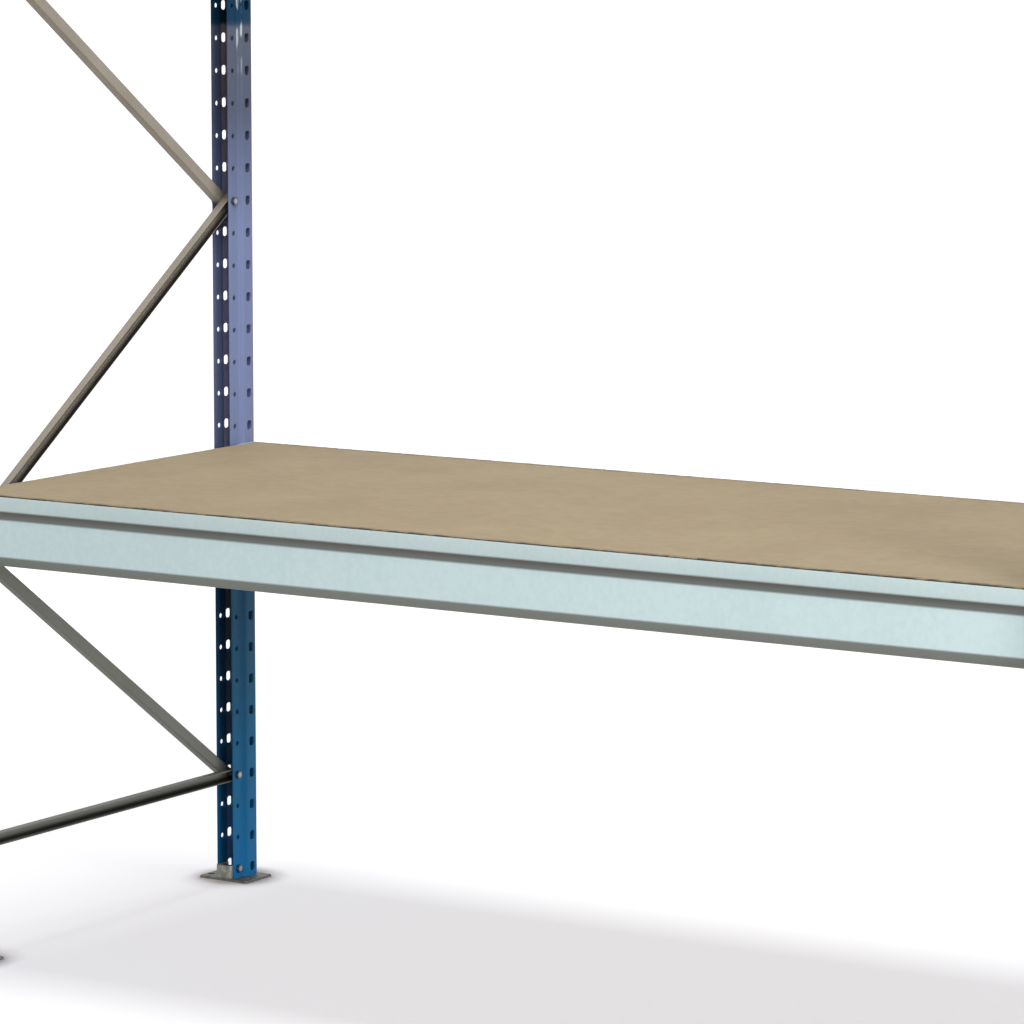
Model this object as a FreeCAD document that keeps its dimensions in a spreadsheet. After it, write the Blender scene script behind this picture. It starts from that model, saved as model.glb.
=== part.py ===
import FreeCAD, Part
import math
import os
import re

import Sketcher

# A wide span shelving bay with one shelf level: two bolted side frames of perforated uprights,
# two hooked step beams and a board that lies in their steps.
# Origin on the floor at the centre of the bay, X along the beams, -Y to the front, Z up.

doc = FreeCAD.newDocument("wide_span_shelf")

# Driving dimensions in millimetres.
SIZES = (
    ("clear_length", 1870, "between the facing sides of the two frames"),
    ("frame_depth", 800, "over the outer faces of the front and rear uprights"),
    ("frame_height", 1700, "floor to the tops of the uprights"),
    ("upright_width", 50, "across the outer, wide part of an upright"),
    ("upright_depth", 60, "from the open edges to the outer face"),
    ("upright_sheet", 2, "sheet of the uprights"),
    ("upright_bend", 3.5, "outer radius at the two outer corners"),
    ("throat_width", 35, "across the narrow part that holds the braces"),
    ("throat_depth", 26, "from the open edges to the jog"),
    ("jog_depth", 4.5, "front to back of the jog between narrow and wide part"),
    ("hole_pitch", 55, "from one punched row to the next"),
    ("first_row", 16, "lower end of an upright to the lowest row"),
    ("last_margin", 20, "least metal between the highest row and the top"),
    ("slot_width", 13, "hook slot, front to back"),
    ("slot_height", 16, "hook slot, upwards"),
    ("slot_setback", 15, "outer face of an upright to the middle of its slots"),
    ("bolt_line", 13.5, "open edges to the middle of the bolt holes"),
    ("bolt_hole", 8.5, "across flats of a bolt hole"),
    ("bolt_shank", 8, "across corners of a bolt's shank"),
    ("bolt_head", 13, "across flats of heads and nuts"),
    ("head_height", 5.3, "height of a bolt's head"),
    ("nut_height", 6.5, "height of a nut"),
    ("brace_width", 20, "channel, in the plane of the frame"),
    ("brace_sheet", 1.5, "sheet of the braces"),
    ("brace_play", 0.2, "channel edge to the inside of the throat"),
    ("brace_end", 15, "bolt to the end of a brace"),
    ("brace_height", 185, "floor to the bottom brace, set to the nearest row"),
    ("foot_sheet", 4, "thickness of the foot plate"),
    ("foot_side", 25, "foot plate past each side of the upright"),
    ("foot_front", 8, "foot plate past the open edges of the upright"),
    ("foot_back", 7, "foot plate past the outer face of the upright"),
    ("foot_wall", 3, "sheet of the upstand"),
    ("foot_margin", 7, "middle of the foot bolt to the top of the upstand"),
    ("foot_reach", 26, "upstand's sides, back from the open edges"),
    ("foot_play", 0.2, "upstand to the inside of the throat"),
    ("anchor_hole", 13, "diameter of the floor anchor holes"),
    ("anchor_offset", 15, "side of the upright to the middle of an anchor hole"),
    ("anchor_line", 13.5, "open edges to the middle of the anchor holes"),
    ("beam_height", 115, "step beam, overall"),
    ("beam_width", 46, "step beam, front to back"),
    ("beam_sheet", 2, "sheet of the beam"),
    ("beam_bend", 3, "outer radius of the beam's bends"),
    ("strip_lip", 0.5, "upper strip of the face, down past the step"),
    ("beam_step", 12, "how far each slanted band leads back"),
    ("upper_slant", 15.5, "height of the band under the strip"),
    ("lower_slant", 16.5, "height of the band at the bottom"),
    ("plate_sheet", 3, "end plate of a beam"),
    ("plate_width", 54, "end plate, front to back"),
    ("plate_margin", 20, "end plate below the middle of the lock pin"),
    ("shelf_height", 760, "floor to the top of the shelf, set to the nearest row"),
    ("hook_drop", 25, "top of the beam to the row of the upper hooks"),
    ("hook_width", 9, "hook, front to back"),
    ("hook_neck", 10, "height of a hook where it passes the slot"),
    ("hook_nose", 8, "how far a hook reaches down behind the slot"),
    ("hook_sheet", 3.5, "thickness of a hook's nose"),
    ("hook_play", 0.2, "nose to the inside of the upright"),
    ("pin_shank", 8, "across a lock pin"),
    ("pin_head", 14, "across a lock pin's head"),
    ("pin_head_height", 3, "height of a lock pin's head"),
    ("pin_reach", 6, "lock pin past the inside of the upright"),
    ("pin_play", 0.2, "lock pin in the end plate, on the radius"),
    ("deck_sheet", 22, "thickness of the board"),
    ("deck_play", 0.5, "board to the beams' strips and to the end plates"),
    ("tie_spacing", 623, "between the two ties"),
    ("tie_width", 40, "tie, along the beams"),
    ("tie_height", 30, "tie, upwards"),
    ("tie_sheet", 1.5, "sheet of the ties"),
    ("tie_tongue", 25, "tie's tongue onto the step of a beam"),
    ("tie_play", 0.3, "tie to the inner wall of a beam"),
)
sheet = doc.addObject("Spreadsheet::Sheet", "Sizes")
for line, (alias, value, meaning) in enumerate(SIZES, start=1):
    sheet.set(f"A{line}", meaning)
    sheet.set(f"B{line}", str(value))
    sheet.setAlias(f"B{line}", alias)
doc.recompute()

ALIASES = re.compile(r"\b(" + "|".join(alias for alias, value, meaning in SIZES) + r")\b")
SIDES = (("left", -1), ("right", 1))
ENDS = (("front", -1), ("rear", 1))
subparts = []


def bind(thing, place, formula):
    """Tie a property to the sheet; the formula names sizes by their aliases alone."""
    thing.setExpression(place, ALIASES.sub(r"Sizes.\1", str(formula)))


def size(alias):
    return float(sheet.get(alias))


def new_body(label):
    body = doc.addObject("PartDesign::Body", label)
    body.Label = label
    return body


def place(thing, x=0, y=0, z=0, turn=0, axis=FreeCAD.Vector(0, 0, 1)):
    """Set a sub-part in the bay: a turn about one axis, then a shift, all tied to the sheet."""
    thing.Placement = FreeCAD.Placement(FreeCAD.Vector(), FreeCAD.Rotation(axis, 90))
    bind(thing, "Placement.Rotation.Angle", turn)
    bind(thing, "Placement.Base.x", x)
    bind(thing, "Placement.Base.y", y)
    bind(thing, "Placement.Base.z", z)


def keep(thing):
    """List an object as a sub-part; its label names its file."""
    subparts.append(thing)
    return thing


def datum(body, role):
    return next(item for item in body.Origin.OriginFeatures if item.Role == role)


def new_sketch(body, name, role, lift=0):
    """A sketch on one of the body's own planes, lifted along the plane's normal."""
    sketch = body.newObject("Sketcher::SketchObject", name)
    sketch.AttachmentSupport = (datum(body, role), "")
    sketch.MapMode = "FlatFace"
    bind(sketch, "AttachmentOffset.Base.z", lift)
    return sketch


def pin_point(sketch, geometry, end, start, formulas):
    """Hold one point of a sketch at two formulas, measured from the sketch's origin."""
    for kind, now, formula in zip(("DistanceX", "DistanceY"), start, formulas):
        index = sketch.addConstraint(Sketcher.Constraint(kind, -1, 1, geometry, end, now))
        bind(sketch, f"Constraints[{index}]", formula)


def outline(sketch, corners):
    """A closed outline of straight lines through corners given as pairs of formulas."""
    count = len(corners)
    first = sketch.GeometryCount
    turns = [2 * math.pi * step / count for step in range(count)]
    ring = [FreeCAD.Vector(math.cos(turn), math.sin(turn), 0) for turn in turns]
    for step in range(count):
        sketch.addGeometry(Part.LineSegment(ring[step], ring[(step + 1) % count]))
    for step in range(count):
        following = first + (step + 1) % count
        sketch.addConstraint(Sketcher.Constraint("Coincident", first + step, 2, following, 1))
    for step, formulas in enumerate(corners):
        pin_point(sketch, first + step, 1, (ring[step].x, ring[step].y), formulas)


def box_corners(low_x, low_y, high_x, high_y):
    return ((low_x, low_y), (high_x, low_y), (high_x, high_y), (low_x, high_y))


def flats(count, middle_x, middle_y, across):
    """Corners of a regular outline that has flats above and below, from its width across them."""
    corners = []
    for step in range(count):
        turn = math.pi / 2 + (2 * step + 1) * math.pi / count
        right = math.cos(turn) / math.cos(math.pi / count) / 2
        up = math.sin(turn) / math.cos(math.pi / count) / 2
        corners.append((f"{middle_x} + ({across})*({right})", f"{middle_y} + ({across})*({up})"))
    return corners


def hexagon(middle_x, middle_y, across):
    """Heads, nuts, shanks and bolt holes have six flats."""
    return flats(6, middle_x, middle_y, across)


def octagon(middle_x, middle_y, across):
    """Lock pins and their holes have eight flats."""
    return flats(8, middle_x, middle_y, across)


def circle(sketch, middle_x, middle_y, across):
    index = sketch.addGeometry(Part.Circle(FreeCAD.Vector(1, 1, 0), FreeCAD.Vector(0, 0, 1), 1))
    pin_point(sketch, index, 3, (1, 1), (middle_x, middle_y))
    ring = sketch.addConstraint(Sketcher.Constraint("Diameter", index, 2))
    bind(sketch, f"Constraints[{ring}]", across)


def pad(body, sketch, length, side="One side", against=False):
    feature = body.newObject("PartDesign::Pad", sketch.Name + "_pad")
    feature.Profile = sketch
    feature.SideType = side
    feature.Reversed = against
    bind(feature, "Length", length)
    doc.recompute()
    return feature


def pocket(body, sketch):
    """Cut right through the body, both ways from the sketch."""
    before = body.Shape.Volume
    feature = body.newObject("PartDesign::Pocket", sketch.Name + "_cut")
    feature.Profile = sketch
    feature.SideType = "Symmetric"
    feature.Type = "ThroughAll"
    doc.recompute()
    if not feature.Shape.Volume < before:
        raise RuntimeError(f"{feature.Name} cuts nothing")
    return feature


def long_edges(feature, axis, corners):
    """Names of the edges that run along one axis through corners given in the other two."""
    others = [number for number in range(3) if number != axis]
    names = []
    for number, edge in enumerate(feature.Shape.Edges, start=1):
        start, end = edge.Vertexes[0].Point, edge.Vertexes[-1].Point
        for corner in corners:
            gaps = [abs(point[other] - at) for point in (start, end) for other, at in zip(others, corner)]
            if max(gaps) < 1e-4:
                names.append(f"Edge{number}")
    return names


def round_edges(body, feature, axis, corners, radius):
    fillet = body.newObject("PartDesign::Fillet", feature.Name + "_bend")
    fillet.Base = (feature, long_edges(feature, axis, corners))
    bind(fillet, "Radius", radius)
    doc.recompute()
    return fillet


def row(number):
    """Height of a punched row over the floor."""
    return f"(foot_sheet + first_row + ({number})*hole_pitch)"


def side_middle(sign):
    """Middle of a side frame along the beams."""
    return f"{sign}*(clear_length + upright_width)/2"


def open_edge(sign):
    """Where the open edges of the front or rear uprights lie."""
    return f"{sign}*(frame_depth/2 - upright_depth)"


# Rows are counted upwards from the lowest one. Each of the three diagonals of a frame climbs a panel.
TOP_ROW = "floor((frame_height - foot_sheet - first_row - last_margin)/hole_pitch)"
SHELF_ROW = "round((shelf_height - hook_drop - foot_sheet - first_row)/hole_pitch)"
BRACE_ROW = "round((brace_height - foot_sheet - first_row)/hole_pitch)"
DIAGONALS = 3
PANEL = f"floor(({TOP_ROW} - {BRACE_ROW})/{DIAGONALS})"
BOTTOM, LOWER, UPPER, TOP = [f"({BRACE_ROW} + {step}*{PANEL})" for step in range(DIAGONALS + 1)]
BOLTED_ROWS = {"front": (BOTTOM, LOWER, TOP), "rear": (BOTTOM, UPPER, TOP)}


# Uprights: one folded sheet each, an open section that is narrow at its open edges and wide behind
# them, punched with a slot in both sides at every row and bolted through at the foot and the braces.
def upright(label, end):
    body = new_body(label)
    half = "upright_width/2"
    neck = "throat_width/2"
    back = "upright_depth - upright_sheet"
    jog = "(throat_depth + jog_depth)"
    slope = "((upright_width - throat_width)/2/jog_depth)"
    # The jog's inner side, so that the sheet keeps its thickness across the slope.
    lag = f"(upright_sheet*(sqrt(1 + {slope}^2) - 1)/{slope})"
    right_side = [
        (neck, "0"),
        (neck, "throat_depth"),
        (half, jog),
        (half, "upright_depth"),
    ]
    right_inner = [
        (f"{half} - upright_sheet", back),
        (f"{half} - upright_sheet", f"{jog} + {lag}"),
        (f"{neck} - upright_sheet", f"throat_depth + {lag}"),
        (f"{neck} - upright_sheet", "0"),
    ]
    left_inner = [(f"-({x})", y) for x, y in reversed(right_inner)]
    left_side = [(f"-({x})", y) for x, y in reversed(right_side)]
    section = new_sketch(body, label + "_section", "XY_Plane")
    outline(section, right_side + left_side + left_inner + right_inner)
    bar = pad(body, section, "frame_height - foot_sheet")
    wide, deep = size("upright_width") / 2, size("upright_depth")
    gauge = size("upright_sheet")
    bent = round_edges(body, bar, 2, ((wide, deep), (-wide, deep)), "upright_bend")
    inside = ((wide - gauge, deep - gauge), (gauge - wide, deep - gauge))
    round_edges(body, bent, 2, inside, "upright_bend - upright_sheet")

    holes = new_sketch(body, label + "_bolts", "YZ_Plane")
    for number in ("0", *BOLTED_ROWS[end]):
        outline(holes, hexagon("bolt_line", f"first_row + {number}*hole_pitch", "bolt_hole"))
    pocket(body, holes)

    slot = new_sketch(body, label + "_slot", "YZ_Plane")
    middle = "upright_depth - slot_setback"
    outline(slot, box_corners(
        f"{middle} - slot_width/2", "first_row - slot_height/2",
        f"{middle} + slot_width/2", "first_row + slot_height/2"))
    punched = pocket(body, slot)
    rows = body.newObject("PartDesign::LinearPattern", label + "_rows")
    rows.Originals = [punched]
    rows.Direction = (datum(body, "Z_Axis"), [""])
    rows.Mode = "Spacing"
    bind(rows, "Offset", "hole_pitch")
    bind(rows, "Occurrences", f"{TOP_ROW} + 1")
    body.Tip = rows
    return body


for end, end_sign in ENDS:
    for side, side_sign in SIDES:
        post = keep(upright(f"upright_{end}_{side}", end))
        place(post, side_middle(side_sign), open_edge(end_sign), "foot_sheet", 90 - 90 * end_sign)


# Feet: a floor plate under the upright with a folded upstand that stands inside its throat, drilled
# for the foot bolt and for two floor anchors.
def foot(label):
    body = new_body(label)
    plate = new_sketch(body, label + "_plate", "XY_Plane")
    side = "(upright_width/2 + foot_side)"
    outline(plate, box_corners(f"-{side}", "-foot_front", side, "upright_depth + foot_back"))
    for sign in (-1, 1):
        circle(plate, f"{sign}*(upright_width/2 + anchor_offset)", "anchor_line", "anchor_hole")
    pad(body, plate, "foot_sheet")
    wall = new_sketch(body, label + "_upstand", "XY_Plane", "foot_sheet")
    half = "(throat_width/2 - upright_sheet - foot_play)"
    outline(wall, (
        (f"-{half}", "-foot_front"),
        (half, "-foot_front"),
        (half, "foot_reach"),
        (f"{half} - foot_wall", "foot_reach"),
        (f"{half} - foot_wall", "foot_wall - foot_front"),
        (f"foot_wall - {half}", "foot_wall - foot_front"),
        (f"foot_wall - {half}", "foot_reach"),
        (f"-{half}", "foot_reach")))
    pad(body, wall, "first_row + foot_margin")
    holes = new_sketch(body, label + "_bolt", "YZ_Plane")
    outline(holes, hexagon("bolt_line", "foot_sheet + first_row", "bolt_hole"))
    pocket(body, holes)
    return body


for end, end_sign in ENDS:
    for side, side_sign in SIDES:
        base = keep(foot(f"foot_{end}_{side}"))
        place(base, side_middle(side_sign), open_edge(end_sign), 0, 90 - 90 * end_sign)


# Braces: channels back to back in the throats. Those that face right lie right of the middle, the
# others left of it, so that two of them share each bolt.
BOLT_RUN = "(frame_depth - 2*upright_depth + 2*bolt_line)"


def brace(label, rise, faces):
    body = new_body(label)
    deep = f"{faces}*(throat_width/2 - upright_sheet - brace_play)"
    thick = f"{faces}*brace_sheet"
    half = "brace_width/2"
    section = new_sketch(body, label + "_section", "XZ_Plane")
    outline(section, (
        ("0", f"-{half}"),
        (deep, f"-{half}"),
        (deep, f"brace_sheet - {half}"),
        (thick, f"brace_sheet - {half}"),
        (thick, f"{half} - brace_sheet"),
        (deep, f"{half} - brace_sheet"),
        (deep, half),
        ("0", half)))
    span = f"sqrt({BOLT_RUN}^2 + ({rise})^2)"
    pad(body, section, f"{span} + 2*brace_end", "Symmetric")
    holes = new_sketch(body, label + "_bolts", "YZ_Plane")
    for sign in (-1, 1):
        outline(holes, hexagon(f"{sign}*{span}/2", "0", "bolt_hole"))
    pocket(body, holes)
    return body


# Each brace is named with the rows of its front and rear bolts and the way that it faces.
BRACES = (
    ("bottom_brace", BOTTOM, BOTTOM, 1),
    ("lower_diagonal", LOWER, BOTTOM, -1),
    ("middle_diagonal", LOWER, UPPER, 1),
    ("upper_diagonal", TOP, UPPER, -1),
    ("top_brace", TOP, TOP, 1),
)
for side, side_sign in SIDES:
    for name, front_row, rear_row, faces in BRACES:
        rise = f"(({rear_row}) - ({front_row}))*hole_pitch"
        bar = keep(brace(f"{name}_{side}", rise, faces))
        middle_height = f"({row(front_row)} + {row(rear_row)})/2"
        lean = f"atan2({rise}; {BOLT_RUN})"
        place(bar, side_middle(side_sign), 0, middle_height, lean, FreeCAD.Vector(1, 0, 0))


# Bolts: hexagon head on the right, nut run on flush at the left, through the throat of an upright.
def throat_bolt():
    body = new_body("throat_bolt")
    head = new_sketch(body, "bolt_head_outline", "YZ_Plane", "throat_width/2")
    outline(head, hexagon("0", "0", "bolt_head"))
    pad(body, head, "head_height")
    shank = new_sketch(body, "bolt_shank_outline", "YZ_Plane", "throat_width/2")
    outline(shank, hexagon("0", "0", "bolt_shank*sqrt(3)/2"))
    pad(body, shank, "throat_width", against=True)
    nut = new_sketch(body, "bolt_nut_outline", "YZ_Plane", "-throat_width/2")
    outline(nut, hexagon("0", "0", "bolt_head"))
    pad(body, nut, "nut_height", against=True)
    return body


def group(label, piece, places):
    """One object of separate, equal fasteners at their places, each a shift and a turn about Z."""
    copies = []
    for shift, turn in places:
        copy = piece.Shape.copy()
        copy.Placement = FreeCAD.Placement(shift, FreeCAD.Rotation(FreeCAD.Vector(0, 0, 1), turn))
        copies.append(copy)
    gathered = doc.addObject("Part::Feature", label)
    gathered.Label = label
    gathered.Shape = Part.makeCompound(copies)
    gathered.Placement = FreeCAD.Placement()
    return keep(gathered)


lowest_row = size("foot_sheet") + size("first_row")


def row_height(number):
    return lowest_row + number * size("hole_pitch")


bolt = throat_bolt()
frame_middle = (size("clear_length") + size("upright_width")) / 2
bolt_depth = size("frame_depth") / 2 - size("upright_depth") + size("bolt_line")
top_row = (size("frame_height") - lowest_row - size("last_margin")) // size("hole_pitch")
brace_row = round((size("brace_height") - lowest_row) / size("hole_pitch"))
panel_rows = (top_row - brace_row) // DIAGONALS
bolted_nodes = {"front": (0, 1, 3), "rear": (0, 2, 3)}
brace_places = []
foot_places = []
for side, side_sign in SIDES:
    for end, end_sign in ENDS:
        x, y = side_sign * frame_middle, end_sign * bolt_depth
        foot_places.append((FreeCAD.Vector(x, y, row_height(0)), 0))
        for node in bolted_nodes[end]:
            height = row_height(brace_row + node * panel_rows)
            brace_places.append((FreeCAD.Vector(x, y, height), 0))
group("brace_bolts", bolt, brace_places)
group("foot_bolts", bolt, foot_places)


# Beams: one roll-formed hollow section each. From the top its face is a strip that stands up in
# front of the board, a band slanted back, a wide face and a second slanted band.
LEDGE = "(beam_height - deck_sheet - tie_sheet)"
INNER_FACE = "(frame_depth/2 - beam_width)"
BEAM_FOOT = f"({row(SHELF_ROW)} + hook_drop - beam_height)"


def beam(label):
    body = new_body(label)
    under_strip = f"({LEDGE} - strip_lip)"
    face = "(beam_step + beam_sheet)"
    # Width of the sheet, measured level, where it runs down a slanted band.
    upper_skew = "(beam_sheet*sqrt(beam_step^2 + upper_slant^2)/upper_slant)"
    lower_skew = "(beam_sheet*sqrt(beam_step^2 + lower_slant^2)/lower_slant)"
    upper_rate = "(upper_slant/beam_step)"
    lower_rate = "(lower_slant/beam_step)"
    roof = f"({LEDGE} - beam_sheet)"
    section = new_sketch(body, label + "_section", "YZ_Plane")
    outline(section, (
        ("0", "beam_height"),
        ("0", under_strip),
        ("beam_step", f"{under_strip} - upper_slant"),
        ("beam_step", "lower_slant"),
        ("2*beam_step", "0"),
        ("beam_width", "0"),
        ("beam_width", LEDGE),
        ("beam_sheet", LEDGE),
        ("beam_sheet", "beam_height")))
    outline(section, (
        (f"{upper_skew} + ({under_strip} - {roof})/{upper_rate}", roof),
        (face, f"{under_strip} - ({face} - {upper_skew})*{upper_rate}"),
        (face, f"lower_slant - ({face} - beam_step - {lower_skew})*{lower_rate}"),
        (f"2*beam_step + {lower_skew} - beam_sheet/{lower_rate}", "beam_sheet"),
        ("beam_width - beam_sheet", "beam_sheet"),
        ("beam_width - beam_sheet", roof)))
    tube = pad(body, section, "clear_length - 2*plate_sheet", "Symmetric")
    step, low = size("beam_step"), size("lower_slant")
    top, wide = size("beam_height"), size("beam_width")
    ledge = top - size("deck_sheet") - size("tie_sheet")
    brow = ledge - size("strip_lip")
    bends = (
        (0, brow), (step, brow - size("upper_slant")), (step, low),
        (2 * step, 0), (wide, 0), (wide, ledge))
    round_edges(body, tube, 0, bends, "beam_bend")
    return body


for end, end_sign in ENDS:
    rail = keep(beam(f"{end}_beam"))
    place(rail, 0, f"{end_sign}*frame_depth/2", BEAM_FOOT, 90 + 90 * end_sign)


# End plates: welded to the beams' ends, with two hooks that pass the uprights' slots and drop behind
# them, and a hole for the lock pin at the next row below. Left and right ends are mirror images.
def end_plate(label, hand):
    body = new_body(label)
    line = f"{hand}*slot_setback"
    upper = "(beam_height - hook_drop)"
    pin_level = f"({upper} - 2*hole_pitch)"
    plate = new_sketch(body, label + "_plate", "YZ_Plane")
    outline(plate, box_corners(
        "0", f"{pin_level} - plate_margin", f"{hand}*plate_width", "beam_height"))
    outline(plate, octagon(line, pin_level, "pin_shank + 2*pin_play"))
    pad(body, plate, "plate_sheet")
    behind = "(upright_sheet + hook_play)"
    profile = new_sketch(body, label + "_hook", "XZ_Plane", f"-({line})")
    for lift in (upper, f"({upper} - hole_pitch)"):
        seat = f"({lift} - slot_height/2)"
        outline(profile, (
            ("0", seat),
            ("0", f"{seat} + hook_neck"),
            (f"-{behind} - hook_sheet", f"{seat} + hook_neck"),
            (f"-{behind} - hook_sheet", f"{seat} - hook_nose"),
            (f"-{behind}", f"{seat} - hook_nose"),
            (f"-{behind}", seat)))
    pad(body, profile, "hook_width", "Symmetric")
    return body


for end, end_sign in ENDS:
    for side, side_sign in SIDES:
        hand = side_sign * end_sign
        hanger = keep(end_plate(f"end_plate_{end}_{side}", hand))
        place(hanger, f"{side_sign}*clear_length/2", f"{end_sign}*frame_depth/2", BEAM_FOOT,
              90 + 90 * side_sign)


# Lock pins: a head against the end plate and a shank through the free slot below the hooks.
def lock_pin():
    body = new_body("lock_pin")
    head = new_sketch(body, "pin_head_outline", "YZ_Plane", "plate_sheet")
    outline(head, octagon("0", "0", "pin_head"))
    pad(body, head, "pin_head_height")
    shank = new_sketch(body, "pin_shank_outline", "YZ_Plane", "plate_sheet")
    outline(shank, octagon("0", "0", "pin_shank"))
    pad(body, shank, "plate_sheet + upright_sheet + pin_reach", against=True)
    return body


pin = lock_pin()
slot_depth = size("frame_depth") / 2 - size("slot_setback")
shelf_row = round((size("shelf_height") - size("hook_drop") - lowest_row) / size("hole_pitch"))
pin_places = []
for side, side_sign in SIDES:
    for end, end_sign in ENDS:
        at = FreeCAD.Vector(
            side_sign * size("clear_length") / 2, end_sign * slot_depth, row_height(shelf_row - 2))
        pin_places.append((at, 90 + 90 * side_sign))
group("lock_pins", pin, pin_places)


# Ties: two channels, open below, whose top sheet reaches onto the beams' steps and keeps them apart.
def tie(label):
    body = new_body(label)
    half = "tie_width/2"
    low = "tie_sheet - tie_height"
    section = new_sketch(body, label + "_section", "XZ_Plane")
    outline(section, (
        (f"-{half}", "tie_sheet"),
        (f"-{half}", low),
        (f"tie_sheet - {half}", low),
        (f"tie_sheet - {half}", "0"),
        (f"{half} - tie_sheet", "0"),
        (f"{half} - tie_sheet", low),
        (half, low),
        (half, "tie_sheet")))
    pad(body, section, f"2*({INNER_FACE} - tie_play)", "Symmetric")
    tongues = new_sketch(body, label + "_tongues", "XY_Plane")
    reach = f"({INNER_FACE} + tie_tongue)"
    outline(tongues, box_corners(f"-{half}", f"-{reach}", half, reach))
    pad(body, tongues, "tie_sheet")
    return body


for side, side_sign in SIDES:
    bar = keep(tie(f"deck_tie_{side}"))
    place(bar, f"{side_sign}*tie_spacing/2", 0, f"{BEAM_FOOT} + {LEDGE}")


# Deck: one board between the strips of the two beams, on the ties and flush with the beams' tops.
deck = keep(doc.addObject("Part::Box", "deck"))
deck_length = "(clear_length - 2*plate_sheet - 2*deck_play)"
deck_depth = "(frame_depth - 2*beam_sheet - 2*deck_play)"
bind(deck, "Length", deck_length)
bind(deck, "Width", deck_depth)
bind(deck, "Height", "deck_sheet")
place(deck, f"-{deck_length}/2", f"-{deck_depth}/2", f"{BEAM_FOOT} + {LEDGE} + tie_sheet")

# Build everything, then write each sub-part only if all of them came out sound.
doc.recompute()
for thing in doc.Objects:
    faults = [state for state in thing.State if state in ("Invalid", "Error")]
    if faults:
        raise RuntimeError(f"{thing.Label} is {faults}")
for thing in subparts:
    if thing.Shape.isNull() or not thing.Shape.isValid():
        raise RuntimeError(f"{thing.Label} has no sound shape")
os.makedirs("parts", exist_ok=True)
for thing in subparts:
    thing.Shape.exportStep(f"parts/{thing.Label}.step")
print(len(subparts), "sub-parts written")
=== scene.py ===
import math

import bmesh
import bpy
from mathutils import Matrix, Vector


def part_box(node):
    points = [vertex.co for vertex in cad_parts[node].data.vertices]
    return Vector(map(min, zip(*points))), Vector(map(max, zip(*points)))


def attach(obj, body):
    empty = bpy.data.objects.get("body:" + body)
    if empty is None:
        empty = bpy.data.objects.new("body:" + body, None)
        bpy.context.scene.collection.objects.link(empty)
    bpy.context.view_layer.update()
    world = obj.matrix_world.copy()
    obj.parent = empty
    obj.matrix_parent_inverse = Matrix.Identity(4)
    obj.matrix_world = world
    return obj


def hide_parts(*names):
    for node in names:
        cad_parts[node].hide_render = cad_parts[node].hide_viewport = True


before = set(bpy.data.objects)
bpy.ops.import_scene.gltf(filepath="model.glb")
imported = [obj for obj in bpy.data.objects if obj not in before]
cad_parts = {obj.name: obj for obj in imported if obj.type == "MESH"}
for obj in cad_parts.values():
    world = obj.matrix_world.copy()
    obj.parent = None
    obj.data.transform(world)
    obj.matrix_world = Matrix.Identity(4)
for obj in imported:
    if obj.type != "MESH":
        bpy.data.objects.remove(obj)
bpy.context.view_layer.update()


# Feet: a punched floor plate with a folded upstand that stands in the throat of the upright.
# Both are sheet steel, welded together and hot-dip galvanised, with two holes for floor anchors.
MM = 0.001
SHIFT_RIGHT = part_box("foot_rear_right")[0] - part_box("foot_rear_left")[0]
HALF_TURN = math.pi
QUARTER_TURN = math.pi / 2


class Wire:
    """One output of a node tree. Sums and products of wires add their own Math nodes."""

    def __init__(self, tree, socket):
        self.tree = tree
        self.socket = socket

    def node(self, kind, settings, inputs, output=0):
        """Any other node: its settings first, then the values or links of its sockets."""
        made = self.tree.nodes.new(kind)
        for name, value in settings.items():
            if name == "stops":
                set_stops(made.color_ramp, value)
            else:
                setattr(made, name, value)
        connect(self.tree, made, inputs)
        return Wire(self.tree, made.outputs[output])

    def maths(self, operation, first, second):
        return self.node("ShaderNodeMath", {"operation": operation}, {0: first, 1: second})

    def __add__(self, other):
        return self.maths("ADD", self, other)

    def __sub__(self, other):
        return self.maths("SUBTRACT", self, other)

    def __rsub__(self, other):
        return self.maths("SUBTRACT", other, self)

    def __mul__(self, other):
        return self.maths("MULTIPLY", self, other)

    def __truediv__(self, other):
        return self.maths("DIVIDE", self, other)

    __radd__ = __add__
    __rmul__ = __mul__


def set_stops(ramp, stops):
    """Stops of a colour ramp, as pairs of place and colour."""
    while len(ramp.elements) < len(stops):
        ramp.elements.new(1)
    for element, (place, colour) in zip(ramp.elements, stops):
        element.position = place
        element.color = colour


def connect(tree, node, inputs):
    for name, value in inputs.items():
        if isinstance(value, Wire):
            tree.links.new(value.socket, node.inputs[name])
        else:
            node.inputs[name].default_value = value


def paint(red, green, blue):
    """A colour as a picture holds it, 0 to 255, turned into the linear light that shaders take."""
    shares = [value / 255 for value in (red, green, blue)]
    linear = [((share + 0.055) / 1.055) ** 2.4 if share > 0.04 else share / 12.92 for share in shares]
    return (*linear, 1)


def new_finish(name):
    """A material with its surface shader, and the piece's own coordinates to draw on."""
    material = bpy.data.materials.new(name)
    material.use_nodes = True
    tree = material.node_tree
    surface = tree.nodes["Principled BSDF"]
    grid = Wire(tree, tree.nodes.new("ShaderNodeTexCoord").outputs["Object"])
    return material, surface, grid


def noise(grid, scale, detail=2, stretch=(1, 1, 1)):
    """Cloudy values about one half. A larger scale is finer, and a small stretch draws out an axis."""
    spread = grid.node("ShaderNodeMapping", {}, {"Vector": grid, "Scale": stretch})
    return grid.node("ShaderNodeTexNoise", {}, {"Vector": spread, "Scale": scale, "Detail": detail})


def blend(factor, first, second):
    """A colour between two others."""
    return factor.node("ShaderNodeMix", {"data_type": "RGBA"}, {0: factor, 6: first, 7: second}, 2)


def ramp(value, *stops):
    return value.node("ShaderNodeValToRGB", {"stops": stops}, {0: value})


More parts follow.
